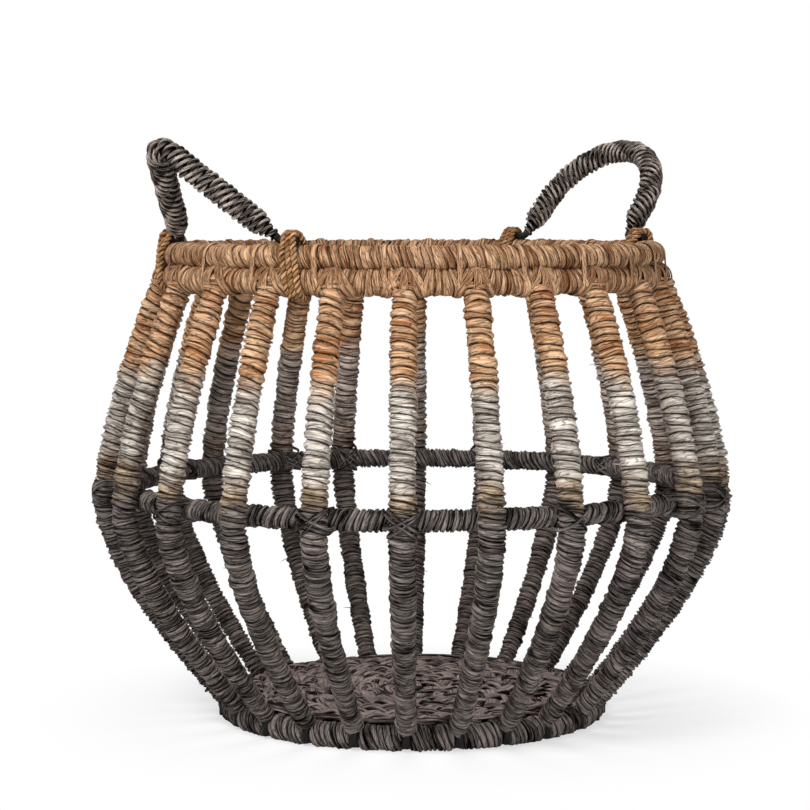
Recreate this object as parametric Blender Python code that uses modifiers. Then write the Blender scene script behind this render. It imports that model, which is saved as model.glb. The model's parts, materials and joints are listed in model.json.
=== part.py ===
"""Open onion-shaped basket: 24 wrapped ribs between a double rim and a round base,
with two arched carrying handles that are lashed to the rim with rope.

Metres, +Z up. The origin is the middle of the base, on the floor.
The handles stand over the -X and +X sides of the rim.
"""
import math

import bmesh
import bpy
from mathutils import Vector

MM = 0.001
DEGREE = math.pi / 180

# Clearances
SEAT_GAP = 0.3 * MM
ROPE_GAP = 0.6 * MM
ROD_GAP = 0.5 * MM

# Rim: two wrapped rings, one on the other
RIM_SEGMENTS = 52
RING_SIDES = 10
RING_FACET_SHARE = math.cos(math.pi / RING_SIDES)
LOWER_RIM_RADIUS = 189.5 * MM
LOWER_RIM_HEIGHT = 347.5 * MM
LOWER_RIM_THICKNESS = 19 * MM
UPPER_RIM_INSET = 0.5 * MM
UPPER_RIM_THICKNESS = 17 * MM

# Base ring and mat
BASE_RADIUS = 143.5 * MM
BASE_THICKNESS = 19 * MM
MAT_THICKNESS = 7 * MM
MAT_CROWN = 2.5 * MM
MAT_EDGE_ROUND = 2 * MM
MAT_LAP = 3 * MM
MAT_SEAT_SIDE = 6

# Ribs: bows from the lower rim ring, out round the belly, in to the base ring
RIB_THICKNESS = 18 * MM
RIB_FOOT_THICKNESS = 12.5 * MM
RIB_BELLY_RADIUS = 241.5 * MM
RIB_BELLY_HEIGHT = 172 * MM
RIB_HEAD_OVERHANG = 5 * MM
RIB_HEAD_DROP = 2 * MM
RIB_HEAD_TAPER_SHARE = 0.8
RIB_SHOULDER_POWER = 1.5
RIB_FLANK_POWER = 1.45
RIB_FOOT_OVERHANG = 4.5 * MM
RIB_FOOT_HEIGHT = 15 * MM
RIB_ROD_THICKNESS = 7 * MM
RIB_ROD_OVERHANG = 7 * MM
RIB_ROD_BOTTOM = 3 * MM
RIB_ROD_TURN = 2 * MM
RIB_SPAN_COUNT = 6

# Each rib's place along the rim from the right handle on, as a share of the even spacing
RIB_PLACE_SHARES = (
    0.18, 0.27, 0.35, 0.34, 0.36, 0.28, 0.41, 0.24, 0.17, 0.18, 0.06, 0.18,
    0.24, 0.27, 0.28, 0.28, 0.28, 0.25, 0.23, 0.33, 0.16, -0.07, 0.06, 0.23,
)

# Belly hoop: runs round the inside of the ribs
HOOP_THICKNESS = 15 * MM
HOOP_HEIGHT = 181 * MM
HOOP_SIDES = 8

# Handles: an iron rod bent to an arch, its toes turned out along the rim
HANDLE_ROD_THICKNESS = 6 * MM
HANDLE_WRAP_THICKNESS = 17 * MM
HANDLE_HALF_WIDTH = 62 * MM
LEFT_HANDLE_RISE = 88 * MM
LEFT_HANDLE_TOP_SHARE = 0.19
LEFT_HANDLE_LEAN = 42.5 * DEGREE
RIGHT_HANDLE_RISE = 91 * MM
RIGHT_HANDLE_TOP_SHARE = 0.96
RIGHT_HANDLE_LEAN = 38 * DEGREE
HANDLE_BEND_RADIUS = 4 * MM
HANDLE_TOE_REACH = 20 * MM
HANDLE_TOE_INSET = 14.8 * MM
HANDLE_WRAP_START = 12.5 * MM
HANDLE_SPAN_COUNT = 16
BEND_SPAN_COUNT = 3

# Lashings: rope wound round both rim rings and over a handle's toe
ROPE_THICKNESS = 3.6 * MM
ROPE_PITCH = 4.3 * MM
ROPE_FIRST_OFFSET = 2.6 * MM
ROPE_SLANT = 2.4 * DEGREE
LASHING_LOOP_COUNT = 3
LOOP_POINT_COUNT = 24
FINE_LOOP_POINT_COUNT = 240

# The side of the rim and the end of the handle that each lashing holds, and its slant
LASHING_FEET = {
    "lashing_left_front": (-1, -1, ROPE_SLANT),
    "lashing_left_rear": (-1, 1, 0),
    "lashing_right_front": (1, -1, 0),
    "lashing_right_rear": (1, 1, ROPE_SLANT),
}

# Sizes that follow from the ones above
lower_rim_half = LOWER_RIM_THICKNESS / 2
upper_rim_half = UPPER_RIM_THICKNESS / 2
base_half = BASE_THICKNESS / 2
rod_half = HANDLE_ROD_THICKNESS / 2
rope_half = ROPE_THICKNESS / 2
hoop_half = HOOP_THICKNESS / 2
base_height = base_half * RING_FACET_SHARE
upper_rim_height = (
    LOWER_RIM_HEIGHT + (lower_rim_half + upper_rim_half) * RING_FACET_SHARE + SEAT_GAP
)
upper_rim_radius = LOWER_RIM_RADIUS - UPPER_RIM_INSET
toe_height = upper_rim_height + upper_rim_half + SEAT_GAP + rod_half
toe_distance = upper_rim_radius - HANDLE_TOE_INSET

# Colours, roughness and metallic value of each finish
FINISHES = {
    "rib_bark": ((0.36, 0.27, 0.19), 0.75, 0.0),
    "rim_bark": ((0.50, 0.30, 0.14), 0.75, 0.0),
    "dark_bark": ((0.065, 0.055, 0.05), 0.8, 0.0),
    "mat_weave": ((0.16, 0.125, 0.11), 0.85, 0.0),
    "handle_cord": ((0.11, 0.095, 0.085), 0.8, 0.0),
    "black_iron": ((0.02, 0.02, 0.02), 0.45, 0.8),
    "tan_rope": ((0.45, 0.27, 0.12), 0.75, 0.0),
}


def clear_scene():
    for item in list(bpy.data.objects):
        bpy.data.objects.remove(item)


def new_collection(name):
    collection = bpy.data.collections.new(name)
    bpy.context.scene.collection.children.link(collection)
    return collection


def make_material(name):
    colour, roughness, metallic = FINISHES[name]
    material = bpy.data.materials.new(name)
    material.use_nodes = True
    shader = material.node_tree.nodes["Principled BSDF"]
    shader.inputs["Base Color"].default_value = (*colour, 1.0)
    shader.inputs["Roughness"].default_value = roughness
    shader.inputs["Metallic"].default_value = metallic
    material.diffuse_color = (*colour, 1.0)
    return material


def tube_curve(name, points, radii, resolution, capped=True):
    """A round tube through the points, with its own half thickness at each."""
    curve = bpy.data.curves.new(name, "CURVE")
    curve.dimensions = "3D"
    curve.bevel_mode = "ROUND"
    curve.bevel_depth = max(radii)
    curve.bevel_resolution = resolution
    curve.use_fill_caps = capped
    spline = curve.splines.new("POLY")
    spline.points.add(len(points) - 1)
    for spline_point, point, radius in zip(spline.points, points, radii):
        spline_point.co = (*point, 1.0)
        spline_point.radius = radius / max(radii)
    spline.use_smooth = True
    return curve


def place(name, data, collection, material=None):
    item = bpy.data.objects.new(name, data)
    collection.objects.link(item)
    if material is not None:
        data.materials.clear()
        data.materials.append(material)
    return item


def smooth(mesh, angle=40 * DEGREE):
    mesh.shade_smooth()
    mesh.set_sharp_from_angle(angle=angle)


def mesh_from_curve(name, curve):
    """The curve's tube as a mesh with its end caps welded on."""
    holder = bpy.data.objects.new(name, curve)
    bpy.context.scene.collection.objects.link(holder)
    bpy.context.view_layer.update()
    graph = bpy.context.evaluated_depsgraph_get()
    mesh = bpy.data.meshes.new_from_object(holder.evaluated_get(graph))
    bpy.data.objects.remove(holder)
    work = bmesh.new()
    work.from_mesh(mesh)
    bmesh.ops.remove_doubles(work, verts=work.verts, dist=SEAT_GAP / 10)
    work.to_mesh(mesh)
    work.free()
    mesh.name = name
    smooth(mesh)
    return mesh


def make_ring(name, radius, thickness, height, sides, collection, material):
    bpy.ops.mesh.primitive_torus_add(
        major_segments=RIM_SEGMENTS,
        minor_segments=sides,
        major_radius=radius,
        minor_radius=thickness / 2,
        location=(0, 0, height),
    )
    ring = bpy.context.active_object
    ring.name = name
    ring.data.name = name
    for owner in list(ring.users_collection):
        owner.objects.unlink(ring)
    collection.objects.link(ring)
    ring.data.materials.append(material)
    smooth(ring.data)
    return ring


def rib_path():
    """Points of a rib's centre line in the XZ plane, head to foot, and half thicknesses."""
    head_radius = LOWER_RIM_RADIUS + RIB_HEAD_OVERHANG
    head_height = LOWER_RIM_HEIGHT - RIB_HEAD_DROP
    foot_radius = BASE_RADIUS + RIB_FOOT_OVERHANG
    thick = RIB_THICKNESS / 2
    thin = RIB_FOOT_THICKNESS / 2
    points = []
    radii = []
    for step in range(RIB_SPAN_COUNT + 1):
        share = 1 - step / RIB_SPAN_COUNT
        inset = (RIB_BELLY_RADIUS - head_radius) * share ** RIB_SHOULDER_POWER
        height = RIB_BELLY_HEIGHT + (head_height - RIB_BELLY_HEIGHT) * share
        points.append(Vector((RIB_BELLY_RADIUS - inset, 0, height)))
        radii.append(thick)
    radii[0] = thick * RIB_HEAD_TAPER_SHARE
    for step in range(1, RIB_SPAN_COUNT + 1):
        share = step / RIB_SPAN_COUNT
        inset = (RIB_BELLY_RADIUS - foot_radius) * share ** RIB_FLANK_POWER
        height = RIB_BELLY_HEIGHT - (RIB_BELLY_HEIGHT - RIB_FOOT_HEIGHT) * share
        points.append(Vector((RIB_BELLY_RADIUS - inset, 0, height)))
        radii.append(thick + (thin - thick) * share)
    rod_radius = BASE_RADIUS + RIB_ROD_OVERHANG
    points.append(Vector((rod_radius, 0, RIB_FOOT_HEIGHT - RIB_ROD_TURN)))
    points.append(Vector((rod_radius, 0, RIB_ROD_BOTTOM)))
    radii.extend([RIB_ROD_THICKNESS / 2] * 2)
    return points, radii


def hoop_radius():
    """The hoop's radius, where it lies against the inside of the ribs at its own height."""
    points, radii = rib_path()
    for (upper, lower), half in zip(zip(points, points[1:]), radii):
        if upper.z >= HOOP_HEIGHT >= lower.z:
            run = upper - lower
            rib_radius = lower.x + run.x * (HOOP_HEIGHT - lower.z) / run.z
            upright_share = run.z / run.length
            return rib_radius - (half + hoop_half + SEAT_GAP) / upright_share
    raise ValueError("the hoop's height is beyond the ribs")


def notch_path(points, radii):
    """The path and half thicknesses of a rib's cutter, which is larger by the seat gap.

    The shoulder between bark and rod moves straight down, so the cutter is wider there.
    """
    wider = [radius + SEAT_GAP for radius in radii]
    wider[-3] += SEAT_GAP
    wider[-2] += SEAT_GAP
    drop = Vector((0, 0, -SEAT_GAP))
    head = points[0] + (points[0] - points[1]).normalized() * SEAT_GAP
    shoulder = [points[-3] + drop, points[-2] + drop]
    return [head, *points[1:-3], *shoulder, points[-1] + drop], wider


def lashing_spans():
    """The first and last angle along the rim that each lashing takes up."""
    spans = []
    for side_x, side_y, slant in LASHING_FEET.values():
        points = lashing_path(LOOP_POINT_COUNT, side_x, side_y, slant)
        angles = [math.atan2(point.y, point.x) for point in points]
        spans.append((min(angles), max(angles)))
    return spans


def rib_angles():
    """The ribs' angles: set by hand, and moved aside where a lashing needs the place."""
    spacing = 2 * math.pi / len(RIB_PLACE_SHARES)
    room = (RIB_THICKNESS / 2 + rope_half + SEAT_GAP) / LOWER_RIM_RADIUS
    angles = []
    for index, place_share in enumerate(RIB_PLACE_SHARES):
        angle = (index + place_share) * spacing
        for first, last in lashing_spans():
            middle = (first + last) / 2
            reach = (last - first) / 2 + room
            away = math.remainder(angle - middle, 2 * math.pi)
            if abs(away) < reach:
                angle = middle + math.copysign(reach, away)
        angles.append(angle)
    return angles


def make_ribs(collection, cutters, material):
    """The ribs, and the cutters that let them into the lower rim ring and the base ring."""
    points, radii = rib_path()
    curve = tube_curve("rib", points, radii, resolution=2)
    notch_curve = tube_curve("rib_notch", *notch_path(points, radii), resolution=2)
    notch = mesh_from_curve("rib_notch", notch_curve)
    for number, angle in enumerate(rib_angles(), start=1):
        rib = place(f"rib_{number:02d}", curve, collection, material)
        rib.rotation_euler.z = angle
        cutter = place(f"rib_notch_{number:02d}", notch, cutters)
        cutter.rotation_euler.z = angle
        cutter.hide_render = True
        cutter.display_type = "WIRE"


def notch_ring(ring, cutters):
    cut = ring.modifiers.new("rib_notches", "BOOLEAN")
    cut.operation = "DIFFERENCE"
    cut.operand_type = "COLLECTION"
    cut.collection = cutters


def mat_seat():
    """The corners of the mat's under side where it lies on the base ring's inner shoulder."""
    reach = (base_half * RING_FACET_SHARE + SEAT_GAP) / RING_FACET_SHARE
    corners = []
    for side in (MAT_SEAT_SIDE - 1, MAT_SEAT_SIDE):
        turn = (2 * side + 1) * math.pi / RING_SIDES - math.pi / 2
        corners.append(Vector((
            BASE_RADIUS + reach * math.cos(turn),
            base_height + reach * math.sin(turn),
        )))
    outer, inner = corners
    lap_share = MAT_LAP / (outer.x - inner.x)
    return inner.lerp(outer, lap_share), inner


def make_mat(collection, material):
    """The base mat: a turned disc with a low crown, its edge lapped on the base ring."""
    lap, seat = mat_seat()
    top = seat.y + MAT_THICKNESS
    outline = [
        (0, top + MAT_CROWN),
        (lap.x / 2, top + MAT_CROWN / 2),
        (lap.x - MAT_EDGE_ROUND, top),
        (lap.x, top - MAT_EDGE_ROUND),
        tuple(lap),
        tuple(seat),
        (0, seat.y),
    ]
    mesh = bpy.data.meshes.new("base_mat")
    work = bmesh.new()
    corners = [work.verts.new((x, 0, z)) for x, z in outline]
    for first, second in zip(corners, corners[1:]):
        work.edges.new((first, second))
    work.to_mesh(mesh)
    work.free()
    mat = place("base_mat", mesh, collection, material)
    turn = mat.modifiers.new("turn", "SCREW")
    turn.steps = RIM_SEGMENTS
    turn.render_steps = RIM_SEGMENTS
    turn.use_merge_vertices = True
    turn.merge_threshold = SEAT_GAP / 10
    turn.use_smooth_shade = True
    return mat


def handle_arch(rise, top_share):
    """The arch in the handle's own YZ plane, from where the wrapping starts.

    Its legs are straight and run into a round top, as wide as a share of the handle.
    """
    top_radius = HANDLE_HALF_WIDTH * top_share
    centre = rise - top_radius
    reach = math.hypot(HANDLE_HALF_WIDTH, centre - HANDLE_BEND_RADIUS)
    slope = math.atan2(HANDLE_BEND_RADIUS - centre, HANDLE_HALF_WIDTH)
    start = slope + math.acos(top_radius / reach)
    top = []
    for step in range(HANDLE_SPAN_COUNT + 1):
        turn = start + (math.pi - 2 * start) * step / HANDLE_SPAN_COUNT
        top.append(Vector((
            0,
            top_radius * math.cos(turn),
            centre + top_radius * math.sin(turn),
        )))
    foot = Vector((0, HANDLE_HALF_WIDTH, HANDLE_BEND_RADIUS))
    wrapped_share = (HANDLE_WRAP_START - foot.z) / (top[0].z - foot.z)
    first = foot.lerp(top[0], wrapped_share)
    return [first, *top, Vector((0, -first.y, first.z))]


def handle_toe(side):
    """A foot of the rod on one side, from the toe's end up to the leg."""
    middle = HANDLE_HALF_WIDTH + HANDLE_BEND_RADIUS
    points = [Vector((0, side * (HANDLE_HALF_WIDTH + HANDLE_TOE_REACH), 0))]
    for step in range(BEND_SPAN_COUNT + 1):
        turn = math.pi / 2 * step / BEND_SPAN_COUNT
        points.append(Vector((
            0,
            side * (middle - HANDLE_BEND_RADIUS * math.sin(turn)),
            HANDLE_BEND_RADIUS * (1 - math.cos(turn)),
        )))
    return points


def make_handle(side_name, direction, rise, top_share, lean, collection, materials):
    """One handle: its iron rod and cord wrapping on an empty that marks the hinge line."""
    hinge = bpy.data.objects.new(f"{side_name}_handle_hinge", None)
    collection.objects.link(hinge)
    hinge.location = (direction * toe_distance, 0, toe_height)
    hinge.rotation_euler = (0, lean, 0 if direction > 0 else math.pi)

    arch = handle_arch(rise, top_share)
    rod_points = handle_toe(1) + arch + handle_toe(-1)[::-1]
    rod_radii = [rod_half] * len(rod_points)
    rod = place(
        f"{side_name}_handle_rod",
        tube_curve(f"{side_name}_handle_rod", rod_points, rod_radii, resolution=2),
        collection,
        materials["black_iron"],
    )
    rod.parent = hinge

    wrap_half = HANDLE_WRAP_THICKNESS / 2
    sleeve = mesh_from_curve(
        f"{side_name}_handle_wrap",
        tube_curve("sleeve", arch, [wrap_half] * len(arch), resolution=3, capped=False),
    )
    wrap = place(f"{side_name}_handle_wrap", sleeve, collection, materials["handle_cord"])
    wrap.parent = hinge
    wall = wrap.modifiers.new("wall", "SOLIDIFY")
    wall.thickness = wrap_half - rod_half - ROD_GAP
    wall.offset = -1


def lashing_section(direction, toe_angle):
    """Where the rope's middle runs for one outward direction across the rings and the toe.

    The toe is straight while the rim is round, so its distance and width as the rope
    meets them depend on the angle along the rim.
    """
    seat = ROPE_GAP + rope_half
    skew_share = math.cos(toe_angle)
    circles = (
        (Vector((LOWER_RIM_RADIUS, LOWER_RIM_HEIGHT)), lower_rim_half),
        (Vector((upper_rim_radius, upper_rim_height)), upper_rim_half),
        (Vector((toe_distance / skew_share, toe_height)), rod_half / skew_share),
    )
    heading = Vector((math.cos(direction), math.sin(direction)))
    centre, radius = max(circles, key=lambda circle: circle[0].dot(heading) + circle[1])
    return centre + heading * (radius + seat)


def lashing_path(points_a_loop, side_x, side_y, slant):
    """The rope's middle line: loops that slant away from the handle as they go down."""
    first_offset = HANDLE_HALF_WIDTH + HANDLE_BEND_RADIUS + ROPE_FIRST_OFFSET
    first_angle = math.atan2(first_offset, toe_distance)
    rope_top = lashing_section(math.pi / 2, first_angle).y
    rope_bottom = lashing_section(-math.pi / 2, first_angle).y
    pitch_angle = ROPE_PITCH / lashing_section(math.pi, first_angle).x
    points = []
    for step in range(LASHING_LOOP_COUNT * points_a_loop + 1):
        turns = step / points_a_loop
        toe_angle = first_angle + pitch_angle * turns
        section = lashing_section(math.pi + 2 * math.pi * turns, toe_angle)
        drop_share = (rope_top - section.y) / (rope_top - rope_bottom)
        angle = toe_angle + slant * drop_share
        points.append(Vector((
            side_x * section.x * math.cos(angle),
            side_y * section.x * math.sin(angle),
            section.y,
        )))
    start_run = (points[0] - points[1]).normalized() * ROPE_THICKNESS
    end_run = (points[-1] - points[-2]).normalized() * ROPE_THICKNESS
    return [points[0] + start_run, *points, points[-1] + end_run]


def least_rope_gap():
    """The least gap between the rope's own loops, measured on closely spaced points."""
    points = lashing_path(FINE_LOOP_POINT_COUNT, 1, 1, ROPE_SLANT)
    apart = FINE_LOOP_POINT_COUNT // 2
    nearest = min(
        (points[first] - points[second]).length
        for first in range(0, len(points) - apart, 2)
        for second in range(first + apart, len(points))
    )
    return nearest - ROPE_THICKNESS


def make_lashings(collection, material):
    for name, (side_x, side_y, slant) in LASHING_FEET.items():
        points = lashing_path(LOOP_POINT_COUNT, side_x, side_y, slant)
        radii = [rope_half] * len(points)
        place(name, tube_curve(name, points, radii, resolution=1), collection, material)
    print(f"least gap between rope loops: {least_rope_gap() / MM:.2f} mm")


def main():
    clear_scene()
    basket = new_collection("onion_basket")
    cutters = new_collection("rib_cutters")
    materials = {name: make_material(name) for name in FINISHES}

    make_ribs(basket, cutters, materials["rib_bark"])
    lower = make_ring(
        "lower_rim_ring", LOWER_RIM_RADIUS, LOWER_RIM_THICKNESS, LOWER_RIM_HEIGHT,
        RING_SIDES, basket, materials["rim_bark"],
    )
    make_ring(
        "upper_rim_ring", upper_rim_radius, UPPER_RIM_THICKNESS, upper_rim_height,
        RING_SIDES, basket, materials["rim_bark"],
    )
    make_ring(
        "belly_hoop", hoop_radius(), HOOP_THICKNESS, HOOP_HEIGHT,
        HOOP_SIDES, basket, materials["dark_bark"],
    )
    base = make_ring(
        "base_ring", BASE_RADIUS, BASE_THICKNESS, base_height,
        RING_SIDES, basket, materials["dark_bark"],
    )
    notch_ring(lower, cutters)
    notch_ring(base, cutters)
    make_mat(basket, materials["mat_weave"])
    make_handle(
        "left", -1, LEFT_HANDLE_RISE, LEFT_HANDLE_TOP_SHARE, LEFT_HANDLE_LEAN,
        basket, materials,
    )
    make_handle(
        "right", 1, RIGHT_HANDLE_RISE, RIGHT_HANDLE_TOP_SHARE, RIGHT_HANDLE_LEAN,
        basket, materials,
    )
    make_lashings(basket, materials["tan_rope"])


main()
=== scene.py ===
"""Looks of the onion basket: wound bark, twisted cord, rope and a plaited mat."""
import json
import math

import bmesh
import bpy
import numpy as np
from mathutils import Matrix, Vector


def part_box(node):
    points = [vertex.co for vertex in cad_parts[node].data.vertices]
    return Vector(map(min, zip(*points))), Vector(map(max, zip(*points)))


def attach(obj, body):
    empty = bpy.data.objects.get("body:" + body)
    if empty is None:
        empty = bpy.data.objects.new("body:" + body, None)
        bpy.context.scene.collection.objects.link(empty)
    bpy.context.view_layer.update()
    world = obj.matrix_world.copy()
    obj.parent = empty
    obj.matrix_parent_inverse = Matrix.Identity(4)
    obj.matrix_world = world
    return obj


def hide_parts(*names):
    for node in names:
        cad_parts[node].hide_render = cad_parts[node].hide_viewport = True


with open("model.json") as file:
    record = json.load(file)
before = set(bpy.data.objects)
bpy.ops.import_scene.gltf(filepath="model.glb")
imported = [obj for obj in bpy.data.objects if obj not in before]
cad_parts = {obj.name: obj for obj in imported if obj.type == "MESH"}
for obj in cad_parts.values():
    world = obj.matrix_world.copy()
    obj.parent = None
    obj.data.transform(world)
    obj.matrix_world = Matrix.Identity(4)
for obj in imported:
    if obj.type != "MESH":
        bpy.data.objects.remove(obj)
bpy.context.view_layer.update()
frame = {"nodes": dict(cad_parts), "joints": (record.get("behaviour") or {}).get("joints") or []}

MM = 0.001
DEGREE = math.pi / 180

# Camera
CAMERA_DISTANCE = 1.954
CAMERA_HEIGHT = 0.398
CAMERA_PITCH = 0.078
CAMERA_AZIMUTH = -39.2 * DEGREE
FOCAL_PIXELS = 2480
SHIFT_PIXELS = -6.96
IMAGE_PIXELS = 810
SENSOR_WIDTH = 36

# Sizes that repeat the part's own
LOWER_RIM_RADIUS = 189.5 * MM
LOWER_RIM_HEIGHT = 347.5 * MM
LOWER_RIM_HALF = 9.5 * MM
UPPER_RIM_RADIUS = 189 * MM
UPPER_RIM_HALF = 8.5 * MM
BASE_RADIUS = 143.5 * MM
RIB_BELLY_RADIUS = 241.5 * MM
RIB_BELLY_HEIGHT = 172 * MM
RIB_HEAD_OVERHANG = 5 * MM
RIB_HEAD_DROP = 2 * MM
RIB_SHOULDER_POWER = 1.5
RIB_FLANK_POWER = 1.45
RIB_FOOT_OVERHANG = 4.5 * MM
RIB_FOOT_HEIGHT = 15 * MM
RIB_HALF = 9 * MM
RIB_FOOT_HALF = 6.25 * MM
RIB_ROD_HALF = 3.5 * MM
RIB_ROD_OVERHANG = 7 * MM
RIB_ROD_HEIGHTS = np.array((3, 9, 20)) * MM
RIB_PLACE_SHARES = (
    0.18, 0.27, 0.35, 0.34, 0.36, 0.28, 0.41, 0.24, 0.17, 0.18, 0.06, 0.18,
    0.24, 0.27, 0.28, 0.28, 0.28, 0.25, 0.23, 0.33, 0.16, -0.07, 0.06, 0.23,
)
HANDLE_HALF_WIDTH = 62 * MM
HANDLE_BEND_RADIUS = 4 * MM
HANDLE_WRAP_HALF = 8.5 * MM
HANDLE_ROD_HALF = 3 * MM
CORD_START = 4.5 * MM
CORD_PITCH = 4.5 * MM
CORD_LAY = 21.5 * MM
CORD_MARKS = np.array((4.5, 8, 12.5, 16, 19)) * MM
CORD_REACHES = np.array((3.3, 3.5, 4.4, 5.9, 7.2)) * MM
CORD_HALVES = np.array((0.55, 0.68, 0.92, 1, 1)) * 1.25 * MM
CORE_GAP = 0.4 * MM
HANDLE_SHAPES = {
    "left": (88 * MM, 0.19, 42.5 * DEGREE),
    "right": (91 * MM, 0.96, 38 * DEGREE),
}
ROPE_HALF = 1.8 * MM
ROPE_PLY_HALF = 1.25 * MM
ROPE_LAY = 8 * MM
ROPE_GAP = 0.6 * MM
ROPE_PITCH = 4.3 * MM
ROPE_FIRST_OFFSET = 2.6 * MM
ROPE_SLANT = 2.4 * DEGREE
LASHING_LOOPS = 3
LASHING_FEET = {
    "left_front": (-1, -1, ROPE_SLANT),
    "left_rear": (-1, 1, 0),
    "right_front": (1, -1, 0),
    "right_rear": (1, 1, ROPE_SLANT),
}

# Sizes of the windings and cords
PLY_SHARE = 1.12
GROOVE_STEPS = 4000
ROUND_TURN = (
    (0.0, 0.0), (0.07, 0.55), (0.2, 0.92), (0.38, 1.0), (0.57, 0.98), (0.76, 0.85), (0.92, 0.48),
)
FLAT_TURN = (
    (0.0, 0.0), (0.04, 0.75), (0.18, 1.0), (0.38, 0.99), (0.58, 0.9), (0.79, 0.76), (0.95, 0.5),
)
LEAST_TURN_SHARE = 0.2
WANDER_SHARES = (0.65, 0.35)
TONE_SHARES = (0.36, 0.22)

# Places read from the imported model

def ring_size(node):
    """Height, radius and half thickness of a ring."""
    low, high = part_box(node)
    half = (high.z - low.z) / 2
    return (low.z + high.z) / 2, high.x - half, half


hinges = {joint["name"].split("_")[0]: Vector(joint["pos_m"]) for joint in frame["joints"]}
upper_rim_height = ring_size("upper_rim_ring")[0]
hoop_height, hoop_radius, hoop_half = ring_size("belly_hoop")
base_height = ring_size("base_ring")[0]
mat_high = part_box("base_mat")[1]
rib_count = len(RIB_PLACE_SHARES)
rib_angles = (np.arange(rib_count) + RIB_PLACE_SHARES) * math.tau / rib_count


# Noise

def smooth_noise(x, seed, period=None):
    """Smooth random values from -1 to 1 along x, repeating after the period where it is given."""
    size = period or 8192
    table = np.random.default_rng(seed).uniform(-1, 1, size)
    whole = np.floor(x).astype(int)
    part = x - whole
    part = part * part * (3 - 2 * part)
    return table[whole % size] * (1 - part) + table[(whole + 1) % size] * part


# Meshes

def turned(out, up, angle):
    """Points given by distance from the upright axis, height and angle round the axis."""
    return np.stack(np.broadcast_arrays(out * np.cos(angle), out * np.sin(angle), up), -1)


def sideways(angle):
    """The direction along a circle round the upright axis."""
    return np.stack(np.broadcast_arrays(-np.sin(angle), np.cos(angle), 0), -1)


def running_sum(steps):
    return np.concatenate([[0], np.cumsum(steps)])


def marks_along(points):
    """Length along a line at each of its points."""
    return running_sum(np.linalg.norm(np.diff(points, axis=0), axis=1))


class Build:
    """Collects swept and wound surfaces, then makes one object of them."""

    def __init__(self):
        self.points, self.faces, self.uv = [], [], []
        self.values = {"crest": [], "facing": [], "tone": []}
        self.count = 0

    def add_points(self, points, crest, facing):
        start = self.count
        self.points.append(points)
        self.values["crest"].append(np.broadcast_to(crest, len(points)))
        self.values["facing"].append(np.broadcast_to(facing, len(points)))
        self.count += len(points)
        return start

    def add_faces(self, faces, tone, uv=None):
        faces = np.asarray(faces)
        self.faces.extend(faces.tolist())
        self.uv.append(np.zeros((faces.size, 2)) if uv is None else uv.reshape(-1, 2))
        self.values["tone"].append(np.broadcast_to(tone, len(faces)))

    def rest_on_floor(self):
        for points in self.points:
            points[:, 2] = np.maximum(points[:, 2], 0)

    def object(self, name):
        mesh = bpy.data.meshes.new(name)
        mesh.from_pydata(np.vstack(self.points).tolist(), [], self.faces)
        mesh.polygons.foreach_set("use_smooth", [True] * len(self.faces))
        layer = mesh.uv_layers.new(name="strip")
        layer.data.foreach_set("uv", np.vstack(self.uv).astype(np.float32).ravel())
        for kind, values in self.values.items():
            attribute = mesh.attributes.new(kind, "FLOAT", "FACE" if kind == "tone" else "POINT")
            attribute.data.foreach_set("value", np.concatenate(values).astype(np.float32))
        mesh.update()
        turn_outward(mesh)
        return add_object(name, mesh)


def add_object(name, data):
    item = bpy.data.objects.new(name, data)
    bpy.context.scene.collection.objects.link(item)
    return item


def turn_outward(mesh):
    """Makes each separate closed surface face outward."""
    work = bmesh.new()
    work.from_mesh(mesh)
    bmesh.ops.recalc_face_normals(work, faces=work.faces)
    work.to_mesh(mesh)
    work.free()


class Path:
    """A centre line with two cross directions, read at any distance along it."""

    def __init__(self, points, side, closed=False):
        points = np.asarray(points, float)
        side = np.broadcast_to(side, points.shape)
        if closed:
            points = np.vstack([points, points[:1]])
            side = np.vstack([side, side[:1]])
            tangents = np.roll(points[:-1], -1, 0) - np.roll(points[:-1], 1, 0)
            tangents = np.vstack([tangents, tangents[:1]])
        else:
            tangents = np.gradient(points, axis=0)
        self.marks = marks_along(points)
        self.length = self.marks[-1]
        self.closed = closed
        self.points = points
        tangents = tangents / np.linalg.norm(tangents, axis=1)[:, None]
        first = side - tangents * np.sum(side * tangents, axis=1)[:, None]
        self.first = first / np.linalg.norm(first, axis=1)[:, None]
        self.second = np.cross(tangents, self.first)

    def read(self, values, distance):
        if self.closed:
            distance = np.mod(distance, self.length)
        return np.stack([np.interp(distance, self.marks, column) for column in values.T], -1)

    def place(self, distance, first, second):
        """Points at a distance along the line and two offsets across it."""
        across = self.read(self.first, distance) * first[..., None]
        across = across + self.read(self.second, distance) * second[..., None]
        return self.read(self.points, distance) + across


def full_turn(count):
    return np.arange(count) * math.tau / count


def ring_path(radius, height):
    turn = full_turn(720)
    return Path(turned(radius, height, turn), turned(1, 0, turn), closed=True)


def corner_uv(*corners):
    """Strip coordinates of four-sided faces from the two arrays of each corner."""
    return np.stack([np.stack(corner, -1) for corner in corners], 2)


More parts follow.
